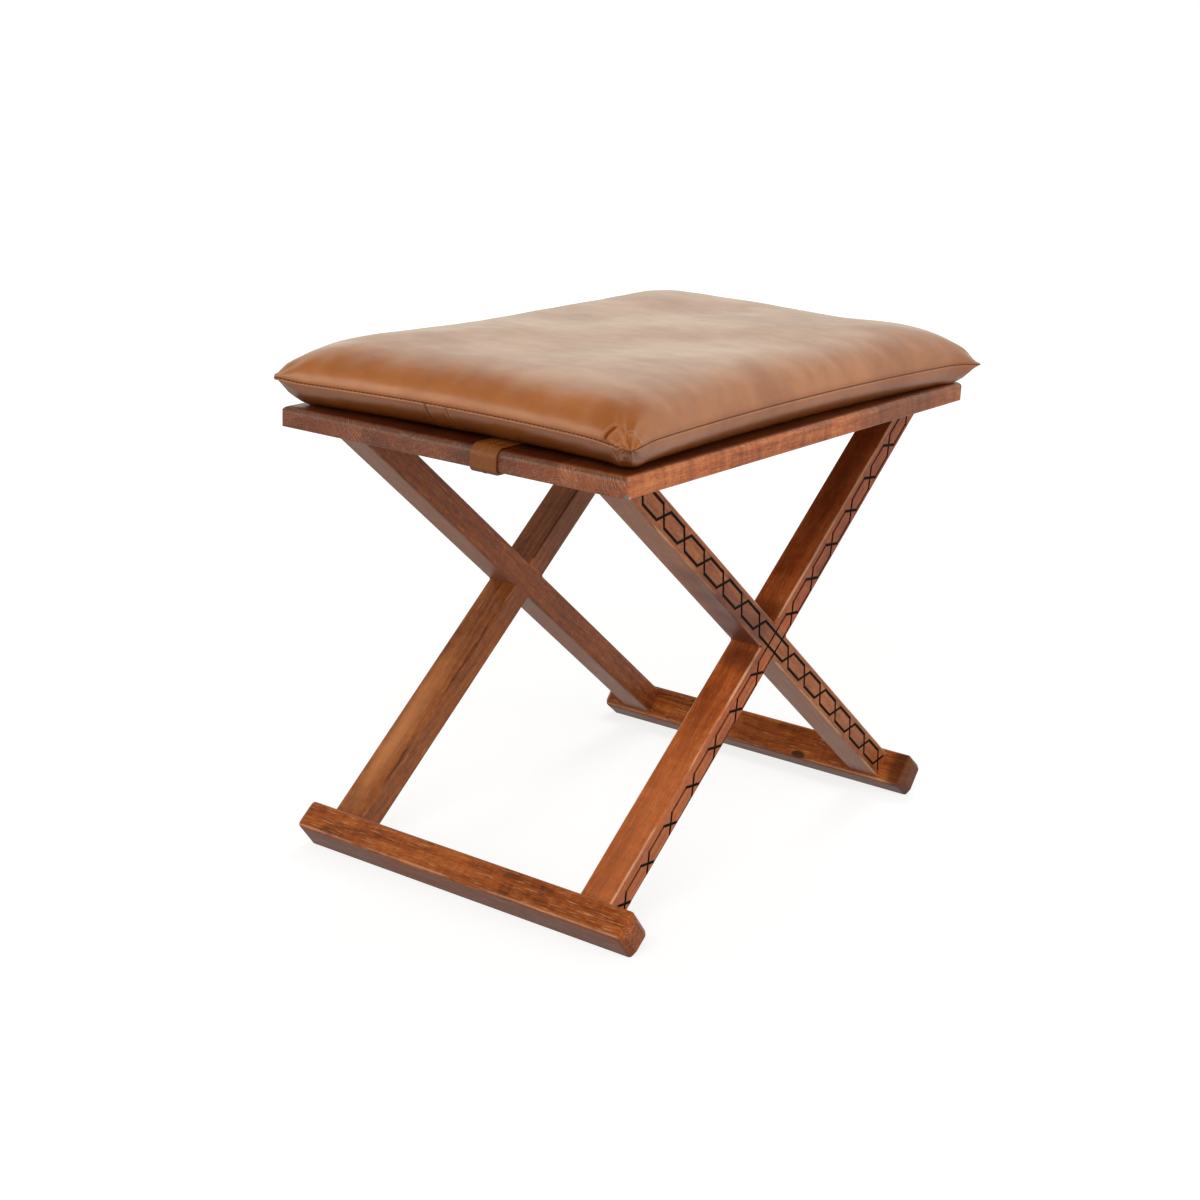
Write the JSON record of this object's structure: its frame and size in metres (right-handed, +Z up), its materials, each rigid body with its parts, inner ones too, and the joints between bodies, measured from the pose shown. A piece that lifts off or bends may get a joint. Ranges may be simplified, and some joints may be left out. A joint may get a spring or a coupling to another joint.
{
  "type": "stool",
  "caption": "Low wooden stool: fixed crossed legs with a carved line pattern stand on foot bars under a plank seat, with a knife-edge leather cushion held by press-stud straps.",
  "frame": {"origin": "on the floor, under the middle of the seat", "axes": "+Z up; Y along the long side of the seat, -Y the end whose strap the picture shows; X along the foot bars, +X the side whose carved frame the picture shows"},
  "size_m": [0.408, 0.617, 0.5095],
  "materials": {
    "seat_wood": "red-brown stained hardwood planks, waxed",
    "frame_wood": "red-brown stained hardwood, hand-eased edges, burnt cut lines, waxed",
    "dowel_wood": "plain beech dowel, glued",
    "strap_leather": "thick tan leather, cut edges, stitched",
    "screw_steel": "zinc-plated",
    "stud_brass": "plain, slightly dulled",
    "cushion_leather": "smooth cognac leather, soft sheen",
    "insert_wadding": "pale wadding"
  },
  "bodies": {
    "stool": {"seat_plank_left": "seat_wood", "seat_plank_mid_left": "seat_wood", "seat_plank_mid_right": "seat_wood", "seat_plank_right": "seat_wood", "right_rear_leg": "frame_wood", "right_front_leg": "frame_wood", "left_rear_leg": "frame_wood", "left_front_leg": "frame_wood", "front_foot_bar": "frame_wood", "rear_foot_bar": "frame_wood", "plank_dowels": "dowel_wood", "seat_dowels": "dowel_wood", "foot_dowels": "dowel_wood", "front_strap": "strap_leather", "rear_strap": "strap_leather", "strap_screws": "screw_steel", "strap_washers": "screw_steel", "screw_studs": "stud_brass"},
    "cushion": {"cushion_top_panel": "cushion_leather", "cushion_bottom_panel": "cushion_leather", "cushion_insert": "insert_wadding", "snap_sockets": "stud_brass"}
  },
  "joints": [
    {"name": "cushion_lift", "type": "slide", "parent": "stool", "child": "cushion", "axis": [0, 0, 1], "range_m": [0, 0.12]}
  ]
}
